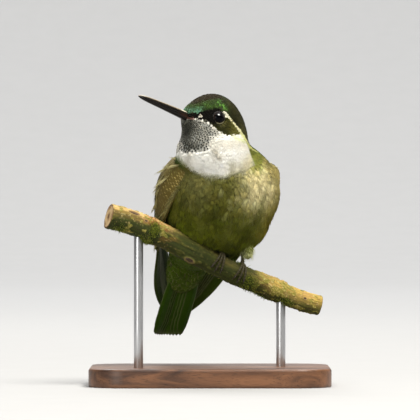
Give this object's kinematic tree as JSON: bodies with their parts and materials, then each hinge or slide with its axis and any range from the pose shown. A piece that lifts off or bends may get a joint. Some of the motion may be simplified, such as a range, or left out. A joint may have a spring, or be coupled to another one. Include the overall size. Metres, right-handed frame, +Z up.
{
  "type": "hummingbird on a perch",
  "caption": "Life-size still model of a small hummingbird with a straight black bill, sitting on a cut branch held by rods over a flat base.",
  "frame": {"origin": "middle of the underside of the display base", "axes": "+Z up; the bird's breast faces -Y and its left side is towards +X"},
  "size_m": [0.078, 0.06, 0.0942],
  "materials": {
    "plumage_green": "iridescent feathers",
    "plumage_white": "soft feathers",
    "plumage_grey": "soft feathers",
    "flight_feathers": "smooth vanes",
    "bill_horn": "polished horn",
    "eye": "wet gloss",
    "foot_skin": "scaly",
    "bark": "rough bark with lichen",
    "base_wood": "oiled walnut",
    "rod_steel": "satin"
  },
  "bodies": {
    "root": {"head": "plumage_green", "neck": "plumage_white", "trunk": "plumage_grey", "vent": "plumage_grey", "tail": "flight_feathers", "wing_left": "flight_feathers", "wing_right": "flight_feathers", "bill_upper": "bill_horn", "bill_lower": "bill_horn", "eye_left": "eye", "eye_right": "eye", "foot_left": "foot_skin", "foot_right": "foot_skin", "perch": "bark", "stand_base": "base_wood", "stand_rod_left": "rod_steel", "stand_rod_right": "rod_steel"}
  },
  "joints": []
}
